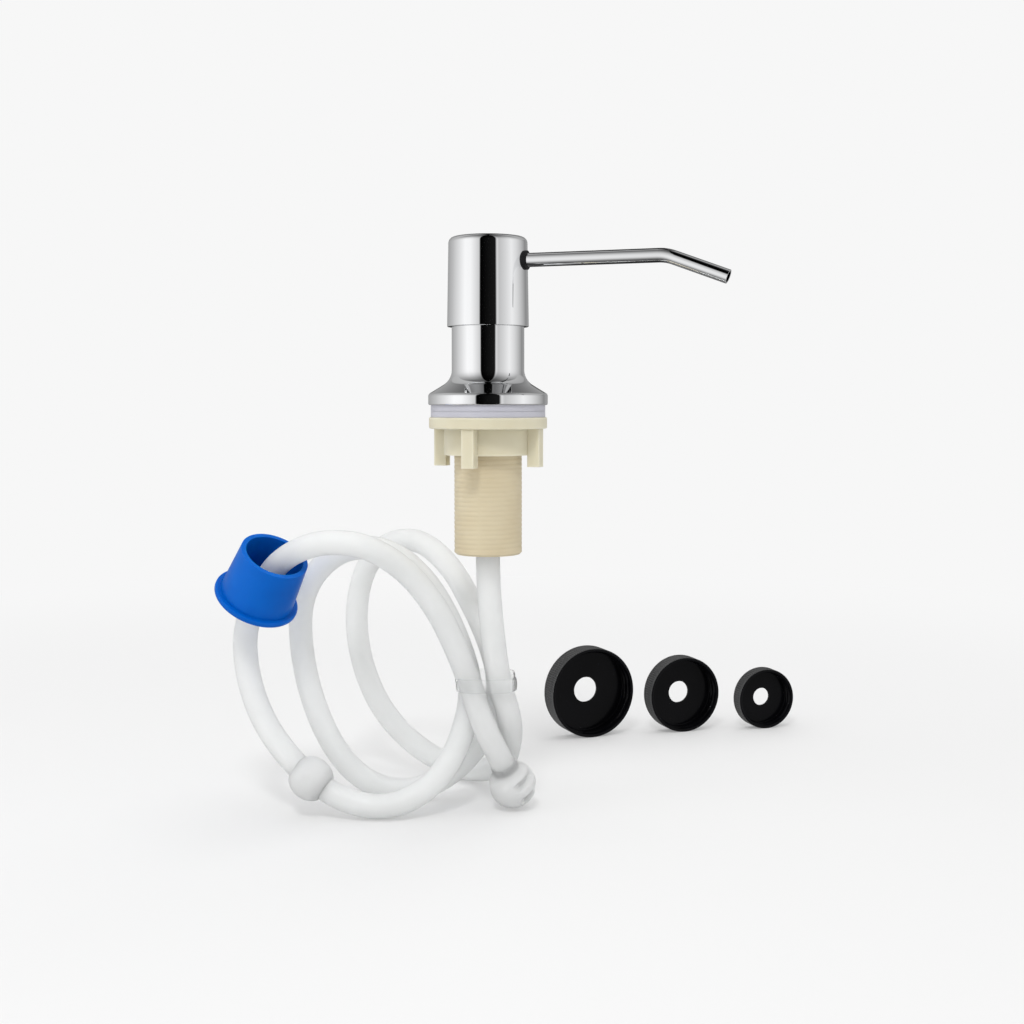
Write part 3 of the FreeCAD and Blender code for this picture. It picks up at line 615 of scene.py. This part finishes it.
def make_joiner():
    """A soft bead on the tube, with a round gate mark in the side that faces the front."""
    middle, along = route_place(JOINER_RUN, JOINER_SHARE)
    place = along_axis(middle, along)
    gate = front_angle(place)

    def wall(radius, height, angle):
        if radius < JOINER_RADIUS - 2 * MM:
            return radius
        spot = math.hypot(angle_gap(angle, gate) * radius, height)
        return radius - DIMPLE_DEPTH * (1 - rise(spot, 0.5 * DIMPLE_RADIUS, DIMPLE_RADIUS))

    outline = [(JOINER_BORE, -JOINER_HALF)]
    for step in range(1, JOINER_STEPS):
        angle = math.pi * step / JOINER_STEPS
        swell = (JOINER_RADIUS - JOINER_END) * math.sin(angle) ** JOINER_SWELL
        outline.append((JOINER_END + swell, -JOINER_HALF * math.cos(angle)))
    outline.append((JOINER_BORE, JOINER_HALF))
    verts, faces = turned_mesh(outline, JOINER_SEGMENTS, wall)
    return mesh_piece("tube_joiner_bead", verts, faces, "milky_plastic", "base", ("tube_joiner",), place)


BAND_MIDDLE = (-0.95 * MM, 0.0, -106.0 * MM)
BAND_HALF = 10.95 * MM
BAND_CORNER = 5.1 * MM
BAND_FILM = 0.35 * MM
BAND_HEIGHT = 5.4 * MM
BAND_STEPS = 160
BAND_ROWS = 9
BAND_BULGE = 0.30 * MM
BAND_EDGE = 0.12 * MM
BAND_RIPPLE = 0.12 * MM
BAND_PUCKER = 0.25 * MM
RIPPLE_REACH = 2.3
RIPPLE_SLICE = 1.7
FOLD_PLACES = (0.0, 0.5)   # shares of the way round
FOLD_HALF = 0.022
FOLD_THICK = 0.75 * MM


def band_point(share, offset):
    """A point a share of the way round a square with round corners, offset outwards."""
    side = BAND_HALF - BAND_CORNER
    quarter = 2 * side + BAND_CORNER * math.pi / 2
    length = (share % 1.0) * 4 * quarter
    number = int(length // quarter)
    along = length - number * quarter
    if along < 2 * side:
        x, y = BAND_HALF + offset, along - side
    else:
        angle = (along - 2 * side) / BAND_CORNER
        x = side + (BAND_CORNER + offset) * math.cos(angle)
        y = side + (BAND_CORNER + offset) * math.sin(angle)
    turn = number * math.pi / 2
    return x * math.cos(turn) - y * math.sin(turn), x * math.sin(turn) + y * math.cos(turn)


def band_section(share):
    """The film's closed outline at one place on its way round: up the outside and down the inside."""
    angle = 2 * math.pi * share
    where = Vector((math.cos(angle) * RIPPLE_REACH, math.sin(angle) * RIPPLE_REACH, RIPPLE_SLICE))
    ripple = noise.noise(where)
    fold = max(1 - abs((share - place + 0.5) % 1.0 - 0.5) / FOLD_HALF for place in FOLD_PLACES)
    thick = BAND_FILM + rise(fold, 0.0, 1.0) * FOLD_THICK
    outside = []
    inside = []
    for row in range(BAND_ROWS):
        level = 2 * row / (BAND_ROWS - 1) - 1
        bulge = BAND_BULGE * (1 - level * level) + BAND_RIPPLE * ripple
        z = level * (BAND_HEIGHT / 2 + BAND_PUCKER * ripple * abs(level))
        outside.append((*band_point(share, bulge + thick - BAND_EDGE * level ** 4), z))
        inside.append((*band_point(share, bulge), z))
    return outside + inside[::-1]


def make_band():
    """A soft clear film wrapped round the four strands, with a puckered edge and two small folds."""
    verts = []
    for step in range(BAND_STEPS):
        verts += band_section(step / BAND_STEPS)
    faces = grid_faces(BAND_STEPS, 2 * BAND_ROWS)
    place = Matrix.Translation(coil(*BAND_MIDDLE)) @ Matrix.Rotation(COIL_TURN, 4, "Z")
    return mesh_piece("clear_film_band", verts, faces, "clear_band", "base", ("tube_band",), place)


# Pump spring

SPRING_FOOT = -15.45 * MM
SPRING_HEIGHT = 27.9 * MM
SPRING_RADIUS = 6.2 * MM
SPRING_WIRE = 0.45 * MM
SPRING_TURNS = 9.0
SPRING_CLOSED = 1.0     # turns that lie flat at each end
SPRING_FLAT = 0.95 * 2 * SPRING_WIRE
STEPS_PER_TURN = 36
WIRE_SIDES = 10


def spring_height(turn):
    """How high the wire's middle is above the spring's foot after some turns."""
    if turn < SPRING_CLOSED:
        return SPRING_FLAT * turn
    if turn > SPRING_TURNS - SPRING_CLOSED:
        return SPRING_HEIGHT - SPRING_FLAT * (SPRING_TURNS - turn)
    open_share = (turn - SPRING_CLOSED) / (SPRING_TURNS - 2 * SPRING_CLOSED)
    return SPRING_FLAT + (SPRING_HEIGHT - 2 * SPRING_FLAT) * open_share


def make_spring():
    """Round wire with a flat closed turn at each end."""
    steps = int(SPRING_TURNS * STEPS_PER_TURN)
    verts = []
    for step in range(steps + 1):
        turn = SPRING_TURNS * step / steps
        angle = 2 * math.pi * turn
        for side in range(WIRE_SIDES):
            around = 2 * math.pi * side / WIRE_SIDES
            across = SPRING_RADIUS + SPRING_WIRE * math.cos(around)
            up = SPRING_FOOT + spring_height(turn) + SPRING_WIRE * math.sin(around)
            verts.append((across * math.cos(angle), across * math.sin(angle), up))
    faces = grid_faces(steps + 1, WIRE_SIDES, rows_wrap=False)
    faces.append(tuple(range(WIRE_SIDES)))
    faces.append(tuple(steps * WIRE_SIDES + side for side in range(WIRE_SIDES)))
    spring = mesh_piece("return_spring", verts, faces, "steel", "base", ("pump_spring",))
    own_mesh(spring)


# Stage: backdrop, floor, studio and lamps

WHITE = (0.93, 0.93, 0.93, 1)
BACKDROP_RADIUS = 5.0
FLOOR_HALF = 2.45
FLOOR_GREY = (0.776, 0.776, 0.776, 1)
FLOOR_SHADE = 0.75              # how much of a shadow the floor takes near the object
FLOOR_FADE = (0.22, 0.75)       # where the floor starts and ends to turn into the backdrop

# Brightness of the studio round the pump, in degrees from the camera's side, seen from the
# pump: a black opening with white walls beside it, which fall to grey at the back.
STUDIO_ROUND = (
    (-180, 0.05), (-172, 0.06), (-170, 0.36), (-145, 0.42), (-120, 0.54), (-92, 0.78), (-68, 1.03),
    (-50, 1.00), (-33, 0.78), (-25, 0.66), (-23.5, 0.60), (-21.5, 0.0), (22.5, 0.01), (24.5, 0.40),
    (27, 0.74), (33, 0.57), (52, 0.72), (72, 0.91), (92, 0.74), (118, 0.46), (136, 0.26),
    (150, 0.33), (170, 0.36), (172, 0.06), (180, 0.05),
)
# The same from straight down to straight up, as a share of the brightness at eye level.
STUDIO_UP = (
    (-90, 0.08), (-67, 0.08), (-50, 0.27), (-29, 0.80), (-15, 0.97), (0, 1.0), (16, 0.94), (32, 0.72),
    (50, 0.40), (67, 0.17), (90, 0.05),
)
# A softbox high behind the pump, which the sloping flare mirrors.
HIGH_ROUND = ((-180, 0.0), (-158, 0.0), (-146, 0.44), (-112, 0.50), (-96, 0.0), (96, 0.0), (112, 0.46),
              (146, 0.38), (158, 0.0), (180, 0.0))
HIGH_UP = ((-90, 0.0), (6, 0.0), (20, 1.0), (72, 1.0), (84, 0.4), (90, 0.3))
# Even light on everything that isn't a mirror.
AMBIENT = 0.74


def angle_ramp(tree, stops, lowest, highest):
    """A colour ramp of (degrees, brightness) stops."""
    ramp = tree.nodes.new("ShaderNodeValToRGB")
    elements = ramp.color_ramp.elements
    for number, (degrees, level) in enumerate(stops):
        where = (degrees - lowest) / (highest - lowest)
        element = elements[number] if number < 2 else elements.new(where)
        element.position = where
        element.color = (level, level, level, 1)
    return ramp


def math_node(tree, operation, first, second=None):
    """The output of a Math node. Each input is a number or another node's output."""
    node = tree.nodes.new("ShaderNodeMath")
    node.operation = operation
    for number, value in enumerate((first, second)):
        if value is None:
            continue
        if isinstance(value, (int, float)):
            node.inputs[number].default_value = value
        else:
            tree.links.new(value, node.inputs[number])
    return node.outputs[0]


def make_studio():
    world = bpy.data.worlds.new("studio")
    bpy.context.scene.world = world
    world.use_nodes = True
    tree = world.node_tree
    place = tree.nodes.new("ShaderNodeTexCoord")
    turn = tree.nodes.new("ShaderNodeMapping")
    turn.inputs["Rotation"].default_value = (0, 0, -COIL_TURN)
    split = tree.nodes.new("ShaderNodeSeparateXYZ")
    tree.links.new(place.outputs["Generated"], turn.inputs["Vector"])
    tree.links.new(turn.outputs["Vector"], split.inputs["Vector"])
    to_camera = math_node(tree, "MULTIPLY", split.outputs["Y"], -1.0)
    around = math_node(tree, "ARCTAN2", split.outputs["X"], to_camera)
    around = math_node(tree, "ADD", math_node(tree, "DIVIDE", around, 2 * math.pi), 0.5)
    height = math_node(tree, "ARCSINE", split.outputs["Z"])
    height = math_node(tree, "ADD", math_node(tree, "DIVIDE", height, math.pi), 0.5)
    round_ramp = angle_ramp(tree, STUDIO_ROUND, -180, 180)
    up_ramp = angle_ramp(tree, STUDIO_UP, -90, 90)
    tree.links.new(around, round_ramp.inputs["Fac"])
    tree.links.new(height, up_ramp.inputs["Fac"])
    studio = math_node(tree, "MULTIPLY", round_ramp.outputs["Color"], up_ramp.outputs["Color"])
    high_round = angle_ramp(tree, HIGH_ROUND, -180, 180)
    high_up = angle_ramp(tree, HIGH_UP, -90, 90)
    tree.links.new(around, high_round.inputs["Fac"])
    tree.links.new(height, high_up.inputs["Fac"])
    high = math_node(tree, "MULTIPLY", high_round.outputs["Color"], high_up.outputs["Color"])
    studio = math_node(tree, "MAXIMUM", studio, high)
    mirrored = tree.nodes.new("ShaderNodeLightPath").outputs["Is Glossy Ray"]
    change = math_node(tree, "MULTIPLY", math_node(tree, "SUBTRACT", studio, AMBIENT), mirrored)
    light = math_node(tree, "ADD", change, AMBIENT)
    tree.links.new(light, tree.nodes["Background"].inputs["Color"])


def make_backdrop():
    """A plain white shell that only the camera sees, so that chrome reflects the studio instead."""
    work = bmesh.new()
    bmesh.ops.create_uvsphere(work, u_segments=32, v_segments=16, radius=BACKDROP_RADIUS)
    mesh = bpy.data.meshes.new("backdrop")
    work.to_mesh(mesh)
    work.free()
    material = bpy.data.materials.new("backdrop")
    material.use_nodes = True
    tree = material.node_tree
    tree.nodes.clear()
    light = tree.nodes.new("ShaderNodeEmission")
    light.inputs["Color"].default_value = WHITE
    out = tree.nodes.new("ShaderNodeOutputMaterial")
    tree.links.new(light.outputs[0], out.inputs["Surface"])
    mesh.materials.append(material)
    shell = bpy.data.objects.new("backdrop", mesh)
    bpy.context.scene.collection.objects.link(shell)
    shell.visible_diffuse = False
    shell.visible_glossy = False
    shell.visible_shadow = False


def make_floor():
    """Pale floor that takes soft shadows near the object and fades into the backdrop."""
    mesh = bpy.data.meshes.new("floor")
    corners = [(x * FLOOR_HALF, y * FLOOR_HALF, FLOOR) for x, y in ((-1, -1), (1, -1), (1, 1), (-1, 1))]
    mesh.from_pydata(corners, [], [(0, 1, 2, 3)])
    material = bpy.data.materials.new("floor")
    material.use_nodes = True
    tree = material.node_tree
    tree.nodes.clear()
    lit = tree.nodes.new("ShaderNodeBsdfDiffuse")
    lit.inputs["Color"].default_value = FLOOR_GREY
    plain = tree.nodes.new("ShaderNodeEmission")
    plain.inputs["Color"].default_value = WHITE
    place = tree.nodes.new("ShaderNodeTexCoord")
    length = tree.nodes.new("ShaderNodeVectorMath")
    length.operation = "LENGTH"
    tree.links.new(place.outputs["Object"], length.inputs[0])
    fade = tree.nodes.new("ShaderNodeMapRange")
    fade.interpolation_type = "SMOOTHSTEP"
    fade.inputs["From Min"].default_value = FLOOR_FADE[0]
    fade.inputs["From Max"].default_value = FLOOR_FADE[1]
    fade.inputs["To Min"].default_value = 1 - FLOOR_SHADE
    fade.inputs["To Max"].default_value = 1.0
    tree.links.new(length.outputs["Value"], fade.inputs["Value"])
    mix = tree.nodes.new("ShaderNodeMixShader")
    tree.links.new(fade.outputs["Result"], mix.inputs[0])
    tree.links.new(lit.outputs[0], mix.inputs[1])
    tree.links.new(plain.outputs[0], mix.inputs[2])
    out = tree.nodes.new("ShaderNodeOutputMaterial")
    tree.links.new(mix.outputs[0], out.inputs["Surface"])
    mesh.materials.append(material)
    floor = bpy.data.objects.new("floor", mesh)
    bpy.context.scene.collection.objects.link(floor)
    floor.visible_glossy = False


# Soft lights: name, place in coil axes, width and power
LAMPS = (
    ("key_light", (-0.12, -0.75, 0.85), 0.24, 4.5),
    ("left_light", (-1.1, -0.35, 0.5), 0.7, 2),
    ("top_light", (0.1, 0.1, 1.3), 0.9, 3),
    ("back_light", (0.6, 1.2, 0.6), 0.9, 3),
)
LAMP_TARGET = (-0.01, 0.03, -0.05)


def make_lamp(name, spot, size, power):
    """A square soft light that polished metal doesn't mirror."""
    data = bpy.data.lights.new(name, "AREA")
    data.size = size
    data.energy = power
    lamp = bpy.data.objects.new(name, data)
    lamp.location = coil(*spot)
    toward = coil(*LAMP_TARGET) - lamp.location
    lamp.rotation_euler = toward.to_track_quat("-Z", "Y").to_euler()
    lamp.visible_glossy = False
    lamp.visible_camera = False
    bpy.context.scene.collection.objects.link(lamp)


make_camera()
tube = make_supply_tube()
make_shank()
for cap in CAPS:
    make_cap(*cap)
valve = make_foot_valve()
joiner = make_joiner()
band = make_band()
make_spring()
make_studio()
make_backdrop()
make_floor()
for lamp in LAMPS:
    make_lamp(*lamp)
paint_cad_nodes()
bpy.context.scene.view_settings.view_transform = "Standard"
